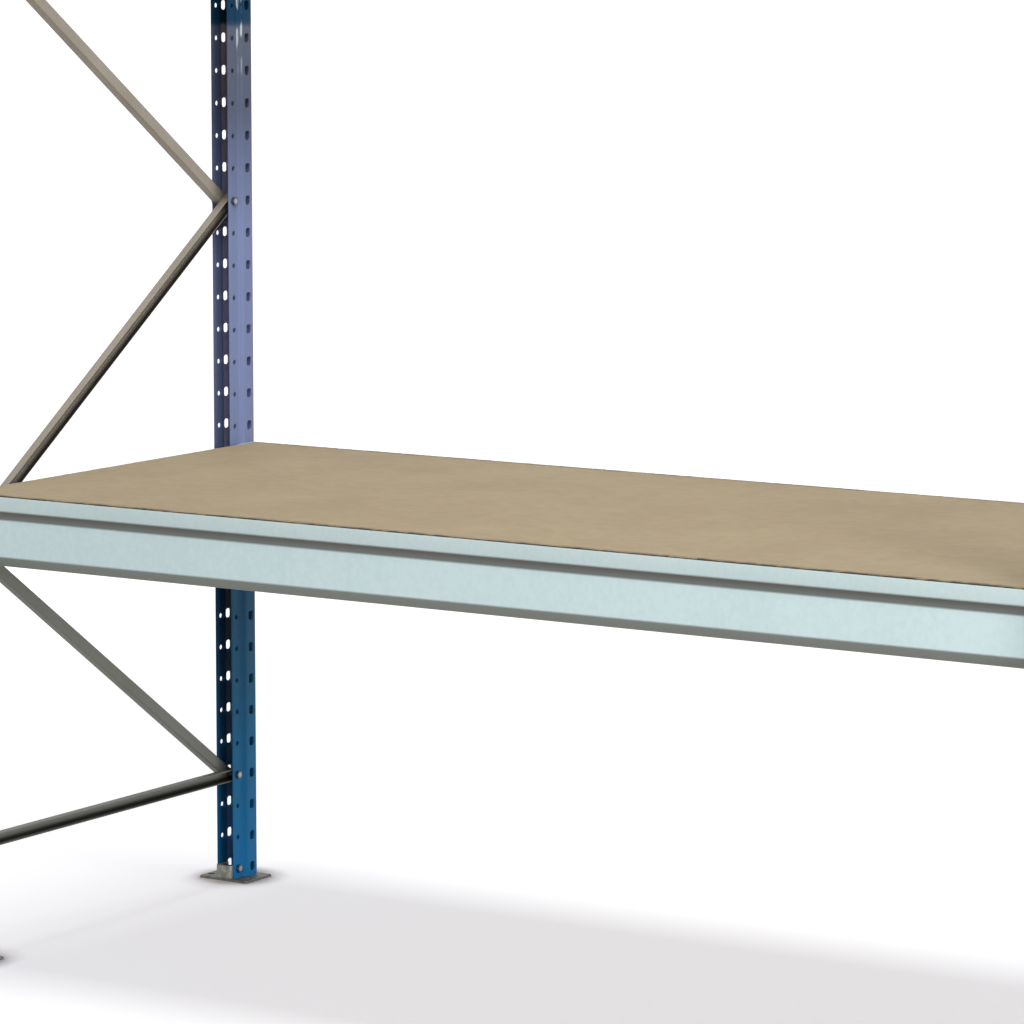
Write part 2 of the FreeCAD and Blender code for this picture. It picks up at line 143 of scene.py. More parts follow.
def level(value, low, high):
    """A value cut to the stretch between two limits and spread from 0 to 1 there."""
    settings = {"interpolation_type": "SMOOTHSTEP"}
    return value.node("ShaderNodeMapRange", settings, {0: value, 1: low, 2: high})


def bump(height, strength, depth):
    return height.node("ShaderNodeBump", {}, {"Height": height, "Strength": strength, "Distance": depth})


def coordinate(vector, axis):
    return vector.node("ShaderNodeSeparateXYZ", {}, {0: vector}, axis)


def unsigned(vector):
    """Coordinates without their signs, so that all four corners are finished alike."""
    return vector.node("ShaderNodeVectorMath", {"operation": "ABSOLUTE"}, {0: vector})


def add_block(name, low, high):
    """A box between two corners, alone in the selection."""
    bpy.ops.object.select_all(action="DESELECT")
    middle = [(start + end) / 2 for start, end in zip(low, high)]
    extent = [end - start for start, end in zip(low, high)]
    bpy.ops.mesh.primitive_cube_add(size=1, location=middle, scale=extent)
    return placed(name)


def add_rod(name, middle, radius, length, turn=(0, QUARTER_TURN, 0), flats=24):
    """A round bar about a middle point, along X unless it is turned another way."""
    bpy.ops.object.select_all(action="DESELECT")
    bpy.ops.mesh.primitive_cylinder_add(
        vertices=flats, radius=radius, depth=length, location=middle, rotation=turn)
    return placed(name)


def placed(name):
    """Move a new primitive's place, turn and size into its mesh."""
    piece = bpy.context.active_object
    piece.name = name
    bpy.ops.object.transform_apply(location=True, rotation=True, scale=True)
    return piece


def choose(piece):
    """Select one piece alone and make it the active one."""
    bpy.ops.object.select_all(action="DESELECT")
    piece.select_set(True)
    bpy.context.view_layer.objects.active = piece


def shape(piece):
    """Open a piece in edit mode, alone."""
    choose(piece)
    bpy.ops.object.mode_set(mode="EDIT")


def done():
    bpy.ops.object.mode_set(mode="OBJECT")


def pick(piece, kind, test):
    """Select the faces or edges whose middle and direction pass a test, or corners by place alone."""
    bpy.ops.mesh.select_mode(type=kind)
    bpy.ops.mesh.select_all(action="DESELECT")
    mesh = bmesh.from_edit_mesh(piece.data)
    if kind == "FACE":
        chosen = [face for face in mesh.faces if test(face.calc_center_median(), face.normal)]
    elif kind == "EDGE":
        chosen = []
        for edge in mesh.edges:
            start, end = [corner.co for corner in edge.verts]
            if test((start + end) / 2, (end - start).normalized()):
                chosen.append(edge)
    else:
        chosen = [corner for corner in mesh.verts if test(corner.co)]
    for item in chosen:
        item.select_set(True)
    mesh.select_flush_mode()
    bmesh.update_edit_mesh(piece.data)


def near(value, *targets):
    return any(abs(value - target) < 0.05 * MM for target in targets)


def modify(piece, kind, **settings):
    """Add a modifier and apply it."""
    bpy.context.view_layer.objects.active = piece
    made = piece.modifiers.new(kind.lower(), kind)
    for name, value in settings.items():
        setattr(made, name, value)
    bpy.ops.object.modifier_apply(modifier=made.name)


def combine(piece, tool, operation):
    """Cut a tool out of a piece, weld it on, or keep what both share. The tool is used up."""
    modify(piece, "BOOLEAN", object=tool, operation=operation, solver="EXACT")
    bpy.data.objects.remove(tool)


def thicken(piece, sheet):
    """Give a sheet its thickness, inwards."""
    modify(piece, "SOLIDIFY", thickness=sheet, offset=-1, use_even_offset=True)


def copy_of(piece, name, move):
    """A second piece like the first, with a mesh of its own that is moved."""
    twin = piece.copy()
    twin.data = piece.data.copy()
    twin.name = name
    bpy.context.collection.objects.link(twin)
    twin.data.transform(move)
    if move.determinant() < 0:
        twin.data.flip_normals()
    return twin


def join(pieces):
    """Several meshes as one piece, under the first one's name."""
    bpy.ops.object.select_all(action="DESELECT")
    for piece in pieces:
        piece.select_set(True)
    bpy.context.view_layer.objects.active = pieces[0]
    bpy.ops.object.join()
    return pieces[0]


SMOOTH_BELOW = math.radians(35)


def settle(piece, finish, slot, *nodes):
    """Smooth the bends, give the finish, and hide the parts of the frame that the piece stands for."""
    choose(piece)
    bpy.ops.object.shade_smooth_by_angle(angle=SMOOTH_BELOW)
    piece.data.materials.clear()
    piece.data.materials.append(finish)
    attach(piece, "root")
    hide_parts(*nodes)


FOOT_SHEET = 4 * MM
FOOT_CORNER = 3 * MM
EASED = 0.5 * MM
UPSTAND_HALF = 15.3 * MM
UPSTAND_DEPTH = 34 * MM
UPSTAND_SHEET = 3 * MM
UPSTAND_BEND = 4.5 * MM
WELD_DEPTH = 1 * MM
BOLT_HOLE = 4.25 * MM
BOLT_LINE = 353.5 * MM
LOWEST_ROW = 20 * MM
ANCHOR_HOLE = 6.5 * MM
ANCHOR_OFFSET = 40 * MM
THROUGH = 100 * MM

foot_low, foot_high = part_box("foot_rear_left")
frame_x = (foot_low.x + foot_high.x) / 2
foot = add_block("foot_steel_rear_left", foot_low, (foot_high.x, foot_high.y, FOOT_SHEET))
shape(foot)
pick(foot, "EDGE", lambda middle, along: abs(along.z) > 0.9)
bpy.ops.mesh.bevel(offset=FOOT_CORNER, segments=4)
pick(foot, "EDGE", lambda middle, along: near(middle.z, FOOT_SHEET))
bpy.ops.mesh.bevel(offset=EASED, segments=2)
done()
for side in (-1, 1):
    hole_at = (frame_x + side * ANCHOR_OFFSET, BOLT_LINE, 0)
    anchor_drill = add_rod("anchor_drill", hole_at, ANCHOR_HOLE, THROUGH, turn=(0, 0, 0), flats=32)
    combine(foot, anchor_drill, "DIFFERENCE")
upstand = add_block(
    "upstand",
    (frame_x - UPSTAND_HALF, foot_low.y, FOOT_SHEET - WELD_DEPTH),
    (frame_x + UPSTAND_HALF, foot_low.y + UPSTAND_DEPTH, foot_high.z))
shape(upstand)
pick(upstand, "FACE", lambda middle, normal: abs(normal.z) > 0.9 or normal.y > 0.9)
bpy.ops.mesh.delete(type="FACE")
pick(upstand, "EDGE", lambda middle, along: abs(along.z) > 0.9 and near(middle.y, foot_low.y))
bpy.ops.mesh.bevel(offset=UPSTAND_BEND, segments=5)
done()
thicken(upstand, UPSTAND_SHEET)
shape(upstand)
pick(upstand, "EDGE", lambda middle, along: near(middle.z, foot_high.z) and abs(along.z) < 0.1)
bpy.ops.mesh.bevel(offset=EASED, segments=2)
done()
combine(foot, upstand, "UNION")
combine(foot, add_rod("bolt_drill", (frame_x, BOLT_LINE, LOWEST_ROW), BOLT_HOLE, THROUGH), "DIFFERENCE")

# Zinc from the bath has a soft spangle, a fine grain and faint clouds. The plate is painted darker,
# partly darker zinc and partly painted shade of the upright.
foot_zinc, surface, grid = new_finish("foot_zinc")
spangle = grid.node("ShaderNodeTexVoronoi", {}, {"Vector": grid, "Scale": 130}, "Color")
flake = spangle.node("ShaderNodeSeparateColor", {}, {0: spangle})
grain = noise(grid, 900, 3)
cloud = noise(grid, 14, 3)
tone = level(flake * 0.25 + grain * 0.25 + cloud * 0.5, 0.25, 0.75)
zinc = blend(tone, paint(120, 122, 114), paint(172, 174, 166))
# Painted darker on the plate: partly darker zinc, partly painted shade.
plate_dark_and_shade = 1 - level(coordinate(grid, "Z"), FOOT_SHEET, 2 * FOOT_SHEET)
connect(grid.tree, surface, {
    "Base Color": blend(plate_dark_and_shade * 0.6, zinc, paint(62, 64, 66)),
    "Metallic": 0.4,
    "Roughness": 0.62 - tone * 0.18,
    "Normal": bump(grain + flake * 0.3, 0.12, 0.0004),
})

TO_RIGHT = Matrix.Translation(SHIFT_RIGHT)
TURNED = Matrix.Rotation(HALF_TURN, 4, "Z")


def four_corners(piece, label):
    """The piece of the rear left corner, with its copies for the other three."""
    return {
        "rear_left": piece,
        "rear_right": copy_of(piece, label + "_rear_right", TO_RIGHT),
        "front_right": copy_of(piece, label + "_front_right", TURNED),
        "front_left": copy_of(piece, label + "_front_left", TURNED @ TO_RIGHT),
    }


for corner, piece in four_corners(foot, "foot_steel").items():
    settle(piece, foot_zinc, "galvanised", "foot_" + corner)


# Uprights: one strip of sheet steel each, rolled to an open section that is narrow at its open edges
# and wide behind them, punched with a hook slot and a round hole in both sides at every row, and
# powder coated blue.
POST_SHEET = 2 * MM
POST_BEND = 3.5 * MM
THROAT_WIDTH = 35 * MM
THROAT_DEPTH = 26 * MM
JOG_DEPTH = 4.5 * MM
JOG_BEND = 2.4 * MM
SHEET_EDGE = 0.45 * MM
ROW_PITCH = 55 * MM
ROWS = 31
SLOT_WIDTH = 13 * MM
SLOT_HEIGHT = 16 * MM
SLOT_CORNER = 4.5 * MM
SLOT_SETBACK = 15 * MM

post_low, post_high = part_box("upright_rear_left")
post_width = post_high.x - post_low.x
post = add_block("post_rear_left", post_low, post_high)
shape(post)
pick(post, "FACE", lambda middle, normal: abs(normal.z) > 0.9 or normal.y < -0.9)
bpy.ops.mesh.delete(type="FACE")
for depth in (THROAT_DEPTH, THROAT_DEPTH + JOG_DEPTH):
    bpy.ops.mesh.select_all(action="SELECT")
    bpy.ops.mesh.bisect(plane_co=(0, post_low.y + depth, 0), plane_no=(0, 1, 0))
pick(post, "VERT", lambda corner: corner.y < post_low.y + THROAT_DEPTH + EASED)
bpy.ops.transform.resize(value=(THROAT_WIDTH / post_width, 1, 1), center_override=(frame_x, 0, 0))
pick(post, "EDGE", lambda middle, along: abs(along.z) > 0.9 and near(middle.y, post_high.y))
bpy.ops.mesh.bevel(offset=POST_BEND, segments=5)
jog_lines = (post_low.y + THROAT_DEPTH, post_low.y + THROAT_DEPTH + JOG_DEPTH)
pick(post, "EDGE", lambda middle, along: abs(along.z) > 0.9 and near(middle.y, *jog_lines))
bpy.ops.mesh.bevel(offset=JOG_BEND, segments=4)
done()
thicken(post, POST_SHEET)
shape(post)
pick(post, "EDGE", lambda middle, along: abs(along.z) > 0.9 and near(middle.y, post_low.y))
bpy.ops.mesh.bevel(offset=SHEET_EDGE, segments=2)
done()


def punch_column(tool):
    """One punch repeated at every row up the upright."""
    modify(tool, "ARRAY", count=ROWS, use_relative_offset=False, use_constant_offset=True,
           constant_offset_displace=(0, 0, ROW_PITCH))
    combine(post, tool, "DIFFERENCE")


slot_at = Vector((frame_x, post_high.y - SLOT_SETBACK, LOWEST_ROW))
slot_half = Vector((THROUGH, SLOT_WIDTH / 2, SLOT_HEIGHT / 2))
slot_punch = add_block("slot_punch", slot_at - slot_half, slot_at + slot_half)
shape(slot_punch)
pick(slot_punch, "EDGE", lambda middle, along: abs(along.x) > 0.9)
bpy.ops.mesh.bevel(offset=SLOT_CORNER, segments=5)
done()
punch_column(slot_punch)
punch_column(add_rod("hole_punch", (frame_x, BOLT_LINE, LOWEST_ROW), BOLT_HOLE, THROUGH))

# The coat's colour is painted by height: deep blue near the floor, darker towards the shelf as painted
# shade under it, and over it a pale lilac painted sheen. Near the top it changes back to dark blue at a
# crisp line.
POST_HEIGHT = 1.7
LILAC_END = 0.864
DARK_START = 0.868
blue_coat, surface, grid = new_finish("blue_powder_coat")
height = coordinate(grid, "Z") / POST_HEIGHT
# Painted sheen over the shelf and painted shade under it, by height.
painted_sheen_and_shade = ramp(
    height,
    (0.00, paint(28, 126, 188)),
    (0.14, paint(36, 112, 160)),
    (0.19, paint(38, 100, 138)),
    (0.28, paint(34, 82, 114)),
    (0.36, paint(36, 76, 104)),
    (0.43, paint(122, 134, 172)),
    (0.66, paint(118, 130, 168)),
    (0.78, paint(82, 91, 112)),
    (LILAC_END, paint(85, 92, 108)),
    (DARK_START, paint(5, 50, 79)))
peel = noise(grid, 700, 2)
haze = noise(grid, 9, 3, (1, 1, 0.35))
coat = blend(level(haze, 0.35, 0.75) * 0.12, painted_sheen_and_shade, paint(20, 34, 60))

# Inside the narrow part the coat has painted shade, and on the inner flanks of the wide part a brownish
# painted reflection lightens it. Over the crisp line both are darker.
aside = unsigned(grid)
off_middle = grid.maths("ABSOLUTE", coordinate(aside, "X") + frame_x, 0)
setback = post_high.y - coordinate(aside, "Y")
post_depth = post_high.y - post_low.y
jog_start = post_depth - THROAT_DEPTH - JOG_DEPTH
jog_share = grid.maths("MINIMUM", grid.maths("MAXIMUM", (setback - jog_start) / JOG_DEPTH, 0), 1)
half_width = post_width / 2 - jog_share * ((post_width - THROAT_WIDTH) / 2)
in_wall = level(half_width - off_middle, 0.4 * POST_SHEET, 0.7 * POST_SHEET)
inside = in_wall * level(setback, 0.4 * POST_SHEET, 0.7 * POST_SHEET)
below_top = 1 - level(height, LILAC_END, DARK_START)
# Painted shade inside the narrow part.
recess_shade = blend(below_top, paint(10, 24, 18), paint(16, 30, 62))
shaded_inside = blend(inside * jog_share * 0.5, coat, recess_shade)
flank = inside * (1 - jog_share) * level(setback, 2 * POST_SHEET, 4 * POST_SHEET)
# Brownish painted reflection on the inner flanks of the wide part.
flank_reflection = blend(below_top, paint(20, 14, 12), paint(168, 146, 140))
inside_shade_and_reflection = blend(flank * (0.6 - below_top * 0.4), shaded_inside, flank_reflection)

# Near the tops painted highlights run in streaks along the two bends of the jog, as glints on the bends.
GLINT_HALF = 0.5 * MM
# Painted highlights: glints along the jog's bends near the tops.
glint_streak = level(noise(grid, 30, 2, (4, 4, 1)), 0.45, 0.62) * level(height, 0.79, 0.89) * (1 - inside)
bends = 0
for bend_line in (jog_start, jog_start + JOG_DEPTH):
    bends = bends + 1 - level(grid.maths("ABSOLUTE", setback - bend_line, 0), GLINT_HALF, JOG_BEND)
connect(grid.tree, surface, {
    "Base Color": blend(bends * glint_streak * 0.8, inside_shade_and_reflection, paint(206, 218, 216)),
    "Roughness": 0.34 + haze * 0.16,
    "Normal": bump(peel, 0.1, 0.0003),
    "Specular IOR Level": 0.12,
})

for corner, piece in four_corners(post, "post").items():
    settle(piece, blue_coat, "blue_coat", "upright_" + corner)


# Foot bolts and brace bolts: hexagon bolts with nuts through the throats of the uprights, forged
# and thread-rolled steel with bright zinc plating, heads to the right.
HEAD_FLATS = 13 * MM
HEAD_HEIGHT = 5.3 * MM
NUT_HEIGHT = 6.5 * MM
SHANK = 4 * MM
TIP = 2 * MM
CHAMFER = 0.9 * MM
HEAD_CHAMFER = 1.25 * MM
THROAT_HALF = THROAT_WIDTH / 2
LATHE_FLATS = 40
LATHE_ROOM = 0.08 * MM


def hexagon(name, start, length, chamfered):
    """Six flats along X with the corners turned off at the ends that are chamfered."""
    radius = HEAD_FLATS / math.sqrt(3)
    middle = (start + length / 2, 0, 0)
    prism = add_rod(name, middle, radius, length, flats=6)
    disc = add_rod("lathe", middle, radius + LATHE_ROOM, length, flats=LATHE_FLATS)
    disc.data.transform(Matrix.Rotation(HALF_TURN / LATHE_FLATS, 4, "X"))
    ends = [start + length * end for end in chamfered]
    shape(disc)
    pick(disc, "EDGE", lambda middle, along: near(middle.x, *ends))
    bpy.ops.mesh.bevel(offset=HEAD_CHAMFER, segments=2)
    done()
    combine(prism, disc, "INTERSECT")
    return prism


bolt = hexagon("bolt_master", THROAT_HALF, HEAD_HEIGHT, (1,))
nut = hexagon("nut", -THROAT_HALF - NUT_HEIGHT, NUT_HEIGHT, (0, 1))
shank_length = 2 * THROAT_HALF + NUT_HEIGHT + TIP
shank = add_rod("shank", (THROAT_HALF + EASED - shank_length / 2, 0, 0), SHANK, shank_length)
shape(shank)
tip_end = THROAT_HALF + EASED - shank_length
pick(shank, "EDGE", lambda middle, along: near(middle.x, tip_end))
bpy.ops.mesh.bevel(offset=CHAMFER, segments=1)
done()
combine(bolt, nut, "UNION")
combine(bolt, shank, "UNION")

# The middle of each head is bright, and it is painted darker towards the rim, as painted shade on its
# sides.
BRIGHT_RADIUS = 2.2 * MM
SHADED_RADIUS = 5.4 * MM
zinc_plate, surface, grid = new_finish("bright_zinc")
brushed = noise(grid, 1400, 3)
stain = noise(grid, 160, 2)
off_line = coordinate(unsigned(grid), "Y") - BOLT_LINE
off_row = grid.maths("PINGPONG", coordinate(grid, "Z") - LOWEST_ROW, ROW_PITCH / 2)
# Painted shade towards the rim of each head and nut.
rim_shade = level(off_line * off_line + off_row * off_row, BRIGHT_RADIUS ** 2, SHADED_RADIUS ** 2)
plating = blend(level(stain, 0.3, 0.7), paint(150, 158, 168), paint(184, 190, 196))
connect(grid.tree, surface, {
    "Base Color": blend(rim_shade * 0.85, plating, paint(66, 72, 80)),
    "Metallic": 0.9,
    "Roughness": 0.3 + brushed * 0.16,
    "Normal": bump(brushed, 0.08, 0.0003),
})


def row(number):
    return LOWEST_ROW + number * ROW_PITCH


FRONT_ROWS = (3, 12, 30)
REAR_ROWS = (3, 21, 30)


def set_bolts(name, front_rows, rear_rows):
    """All bolts of one kind, as one piece."""
    places = []
    for side_x in (frame_x, frame_x + SHIFT_RIGHT.x):
        places += [(side_x, -BOLT_LINE, row(number)) for number in front_rows]
        places += [(side_x, BOLT_LINE, row(number)) for number in rear_rows]
    copies = [copy_of(bolt, name, Matrix.Translation(place)) for place in places]
    return join(copies)


settle(set_bolts("throat_bolts_feet", (0,), (0,)), zinc_plate, "zinc_plate", "foot_bolts")
settle(set_bolts("throat_bolts_braces", FRONT_ROWS, REAR_ROWS), zinc_plate, "zinc_plate", "brace_bolts")
bpy.data.objects.remove(bolt)


# Braces: cold-rolled channels of galvanised strip, two horizontals and three diagonals in each side
# frame, back to back in the throats and bolted through their webs.
BRACE_HALF = 10 * MM
BRACE_DEPTH = 15.3 * MM
BRACE_SHEET = 1.5 * MM
BRACE_BEND = 2.5 * MM
BRACE_END = 15 * MM
SHADE_DARKNESS = 0.97
SHADED_BELOW = 620 * MM
UNSHADED_ABOVE = 820 * MM
JOINT_START = 310 * MM

# The strip is dull and even. Below the shelf it has painted shade, and so have the ends where they sit
# in the
# throats and the inside of each channel: along the lower fold of a level one, and at the lower lip of a
# sloping one. Where each point lies in its channel is kept in an attribute that the finish reads: how
# deep, 1 if the channel slopes, and how high.
brace_zinc, surface, grid = new_finish("brace_zinc")
place = grid.node("ShaderNodeAttribute", {"attribute_name": "channel"}, {}, "Vector")
depth = coordinate(place, "X")
slopes = coordinate(place, "Y")
rise = coordinate(place, "Z")
inside = level(depth, 0.04, 0.09) * (1 - level(rise * rise, 0.74, 0.9))
towards_lip = level(depth, 0.1, 0.95)
low_fold = level(0 - rise, -0.2, 0.65) * (1 - towards_lip * 0.8)
low_lip = level(0 - rise, -0.7, 0.3) * (0.1 + level(depth, 0.05, 0.65) * 0.9)
# Painted shade inside each channel.
channel_shade = inside * ((1 - slopes) * low_fold + slopes * low_lip)
cloud = noise(grid, 9, 3)
grain = noise(grid, 800, 3)
tone = level(cloud * 0.6 + grain * 0.4, 0.3, 0.7)
strip_zinc = blend(tone, paint(148, 140, 129), paint(160, 152, 141))
# Painted shade below the shelf.
under_shelf_shade = 1 - level(coordinate(grid, "Z"), SHADED_BELOW, UNSHADED_ABOVE)
zinc = blend(under_shelf_shade, strip_zinc, blend(tone, paint(122, 123, 116), paint(131, 132, 125)))
# Painted shade at the ends in the throats.
joint = level(coordinate(unsigned(grid), "Y"), JOINT_START, BOLT_LINE)
throat_shade = blend(joint * 0.6, zinc, paint(58, 58, 50))
connect(grid.tree, surface, {
    "Base Color": blend(channel_shade * SHADE_DARKNESS, throat_shade, paint(16, 16, 15)),
    "Metallic": 0.6 - channel_shade * 0.6,
    "Roughness": 0.5 + grain * 0.12,
    "Normal": bump(grain, 0.04, 0.0003),
    "Specular IOR Level": 0.1,
})


def keep_place(bar, faces, slopes):
    """Keep where each point lies in its channel, as shares of its depth and half width."""
    kept = bar.data.attributes.new("channel", "FLOAT_VECTOR", "POINT")
    for corner, entry in zip(bar.data.vertices, kept.data):
        entry.vector = (corner.co.x * faces / BRACE_DEPTH, slopes, corner.co.z / BRACE_HALF)


def brace(name, front_row, rear_row, faces):
    """A channel between two bolts of the left frame that opens to the right, 1, or to the left, -1."""
    rise = row(rear_row) - row(front_row)
    span = math.hypot(2 * BOLT_LINE, rise)
    far = span / 2 + BRACE_END
    low = Vector((min(0, faces * BRACE_DEPTH), -far, -BRACE_HALF))
    high = Vector((max(0, faces * BRACE_DEPTH), far, BRACE_HALF))
    bar = add_block(name, low, high)
    shape(bar)
    pick(bar, "FACE", lambda middle, normal: normal.x * faces > 0.9 or abs(normal.y) > 0.9)
    bpy.ops.mesh.delete(type="FACE")
    pick(bar, "EDGE", lambda middle, along: abs(along.y) > 0.9 and near(middle.x, 0))
    bpy.ops.mesh.bevel(offset=BRACE_BEND, segments=4)
    done()
    thicken(bar, BRACE_SHEET)
    for end in (-1, 1):
        combine(bar, add_rod("drill", (0, end * span / 2, 0), BOLT_HOLE, THROUGH), "DIFFERENCE")
    keep_place(bar, faces, float(rise != 0))
    middle = Matrix.Translation((frame_x, 0, (row(front_row) + row(rear_row)) / 2))
    bar.data.transform(middle @ Matrix.Rotation(math.atan2(rise, 2 * BOLT_LINE), 4, "X"))
    return bar


BRACES = (
    ("bottom_brace", 3, 3, 1),
    ("lower_diagonal", 12, 3, -1),
    ("middle_diagonal", 12, 21, 1),
    ("upper_diagonal", 30, 21, -1),
    ("top_brace", 30, 30, 1),
)
for label, front_row, rear_row, faces in BRACES:
    left = brace(label + "_channel_left", front_row, rear_row, faces)
    right = copy_of(left, label + "_channel_right", TO_RIGHT)
    settle(left, brace_zinc, "galvanised", label + "_left")
    settle(right, brace_zinc, "galvanised", label + "_right")


# Beams: roll-formed hollow step sections of sheet steel with a light blue-grey coat. The strip at the
# top of the face hides the board's edge, and the face steps back below it between two slanted bands.
BEAM_SHEET = 2 * MM
BEAM_STEP = 12 * MM
LEDGE = 91.5 * MM
UNDER_STRIP = 91 * MM
FACE_TOP = 75.5 * MM
FACE_FOOT = 16.5 * MM
BEAM_BEND = 2.2 * MM
STRIP_EDGE = 0.7 * MM
STRIP_DROP = 1.6 * MM

beam_low, beam_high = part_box("front_beam")
strip_top = beam_high.z - STRIP_DROP
beam = add_block("step_beam_front", beam_low, (beam_high.x, beam_high.y, strip_top))
shape(beam)
pick(beam, "FACE", lambda middle, normal: abs(normal.x) > 0.9 or normal.z > 0.9)
bpy.ops.mesh.delete(type="FACE")
pick(beam, "FACE", lambda middle, normal: normal.y > 0.9)
bpy.ops.mesh.bisect(plane_co=(0, 0, beam_low.z + LEDGE), plane_no=(0, 0, 1), clear_outer=True)
for level_up in (UNDER_STRIP, FACE_TOP, FACE_FOOT):
    pick(beam, "FACE", lambda middle, normal: normal.y < -0.9)
    bpy.ops.mesh.bisect(plane_co=(0, 0, beam_low.z + level_up), plane_no=(0, 0, 1))
face_lines = (beam_low.z + FACE_TOP, beam_low.z + FACE_FOOT)
pick(beam, "VERT", lambda corner: near(corner.y, beam_low.y) and near(corner.z, *face_lines))
bpy.ops.transform.translate(value=(0, BEAM_STEP, 0))
pick(beam, "VERT", lambda corner: near(corner.y, beam_low.y) and near(corner.z, beam_low.z))
bpy.ops.transform.translate(value=(0, 2 * BEAM_STEP, 0))
pick(beam, "EDGE", lambda middle, along: near(middle.z, beam_low.z + LEDGE) and abs(along.x) > 0.9)
ledge_depth = beam_high.y - beam_low.y - BEAM_SHEET
bpy.ops.mesh.extrude_region_move(TRANSFORM_OT_translate={"value": (0, -ledge_depth, 0)})
bend_lines = [beam_low.z + level_up for level_up in (0, FACE_FOOT, FACE_TOP, UNDER_STRIP, LEDGE)]
ledge_end = beam_low.y + BEAM_SHEET
pick(beam, "EDGE", lambda middle, along: (
    abs(along.x) > 0.9 and near(middle.z, *bend_lines) and not near(middle.y, ledge_end)))
bpy.ops.mesh.bevel(offset=BEAM_BEND, segments=4)
done()
weld_line = copy_of(beam, "weld_line", Matrix.Identity(4))
thicken(beam, BEAM_SHEET)
shape(beam)
pick(beam, "EDGE", lambda middle, along: abs(along.x) > 0.9 and near(middle.z, strip_top))
bpy.ops.mesh.bevel(offset=STRIP_EDGE, segments=3)
done()

# The coat is faintly mottled and the strip a little darker and greyer. The groove under the strip and
# the band at its foot have painted shade.
pale_coat, surface, grid = new_finish("pale_powder_coat")
mottle = noise(grid, 120, 4)
drift = noise(grid, 6, 3)
peel = noise(grid, 900, 2)
fleck = level(mottle * 0.6 + drift * 0.4, 0.35, 0.65)
rise = coordinate(grid, "Z") - beam_low.z
strip = level(rise, UNDER_STRIP - BEAM_BEND, UNDER_STRIP + BEAM_BEND)
groove = level(rise, FACE_TOP - BEAM_BEND, FACE_TOP + BEAM_BEND) * (1 - strip)
foot_band = 1 - level(rise, FACE_FOOT - BEAM_BEND, FACE_FOOT + BEAM_BEND)
coat = blend(fleck, paint(199, 220, 223), paint(206, 226, 229))
darker_strip = blend(strip * 0.25, coat, paint(158, 164, 156))
# Painted shade in the groove under the strip.
groove_shade = groove * (0.8 + level(rise, FACE_TOP, UNDER_STRIP) * 0.15)
# Painted shade on the band at the foot.
band_shade = blend(foot_band * 0.78, darker_strip, paint(102, 94, 78))
connect(grid.tree, surface, {
    "Base Color": blend(groove_shade, band_shade, paint(80, 72, 60)),
    "Roughness": 0.42 + mottle * 0.16,
    "Normal": bump(peel, 0.08, 0.0003),
    "Specular IOR Level": 0.4,
})
rear_beam = copy_of(beam, "step_beam_rear", TURNED)
settle(beam, pale_coat, "pale_coat", "front_beam")
settle(rear_beam, pale_coat, "pale_coat", "rear_beam")


# End plates: punched plates welded to the beams' ends and coated with them. Two pressed hooks pass
# the slots of the upright and drop behind them, and a hole takes the lock pin at the next row.
PLATE_SHEET = 3 * MM
PLATE_CORNER = 3 * MM
HOOK_HALF = 4.5 * MM
HOOK_NECK = 10 * MM
HOOK_NOSE = 8 * MM
HOOK_SHEET = 3.5 * MM
HOOK_EASED = 0.8 * MM
HOOK_ROWS = (12, 13)
PIN_ROW = 11
PIN_HOLE = 4.2 * MM
BEAD = 1.6 * MM

plate_low, plate_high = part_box("end_plate_front_left")
hook_y = beam_low.y + SLOT_SETBACK
plate = add_block(
    "end_plate_steel_front_left", (plate_high.x - PLATE_SHEET, plate_low.y, plate_low.z), plate_high)
shape(plate)
pick(plate, "EDGE", lambda middle, along: abs(along.x) > 0.9)
bpy.ops.mesh.bevel(offset=PLATE_CORNER, segments=4)
pick(plate, "EDGE", lambda middle, along: abs(along.x) < 0.1)
bpy.ops.mesh.bevel(offset=EASED, segments=2)
done()
for number in HOOK_ROWS:
    seat = row(number) - SLOT_HEIGHT / 2
    hook = add_block(
        "hook",
        (plate_low.x, hook_y - HOOK_HALF, seat),
        (plate_high.x - WELD_DEPTH, hook_y + HOOK_HALF, seat + HOOK_NECK))
    shape(hook)
    nose_back = plate_low.x + HOOK_SHEET
    bpy.ops.mesh.select_all(action="SELECT")
    bpy.ops.mesh.bisect(plane_co=(nose_back, 0, 0), plane_no=(1, 0, 0))
    pick(hook, "FACE", lambda middle, normal: normal.z < -0.9 and middle.x < nose_back)
    bpy.ops.mesh.extrude_region_move(TRANSFORM_OT_translate={"value": (0, 0, -HOOK_NOSE)})
    pick(hook, "EDGE", lambda middle, along: near(middle.x, plate_low.x) and abs(along.x) < 0.1)
    bpy.ops.mesh.bevel(offset=HOOK_EASED, segments=3)
    done()
    combine(plate, hook, "UNION")
pin_drill = add_rod("pin_drill", (plate_low.x, hook_y, row(PIN_ROW)), PIN_HOLE, THROUGH)
combine(plate, pin_drill, "DIFFERENCE")
shape(weld_line)
pick(weld_line, "VERT", lambda corner: corner.x > beam_low.x + EASED)
bpy.ops.mesh.delete(type="VERT")
done()
bpy.ops.object.convert(target="CURVE")
weld_line.data.bevel_depth = BEAD
weld_line.data.bevel_resolution = 2
weld_line.data.use_fill_caps = True
bpy.ops.object.convert(target="MESH")
plate = join([plate, weld_line])
MIRROR_X = Matrix.Scale(-1, 4, (1, 0, 0))
MIRROR_Y = Matrix.Scale(-1, 4, (0, 1, 0))
plates = {
    "front_left": plate,
    "rear_right": copy_of(plate, "end_plate_steel_rear_right", TURNED),
    "front_right": copy_of(plate, "end_plate_steel_front_right", MIRROR_X),
    "rear_left": copy_of(plate, "end_plate_steel_rear_left", MIRROR_Y),
}
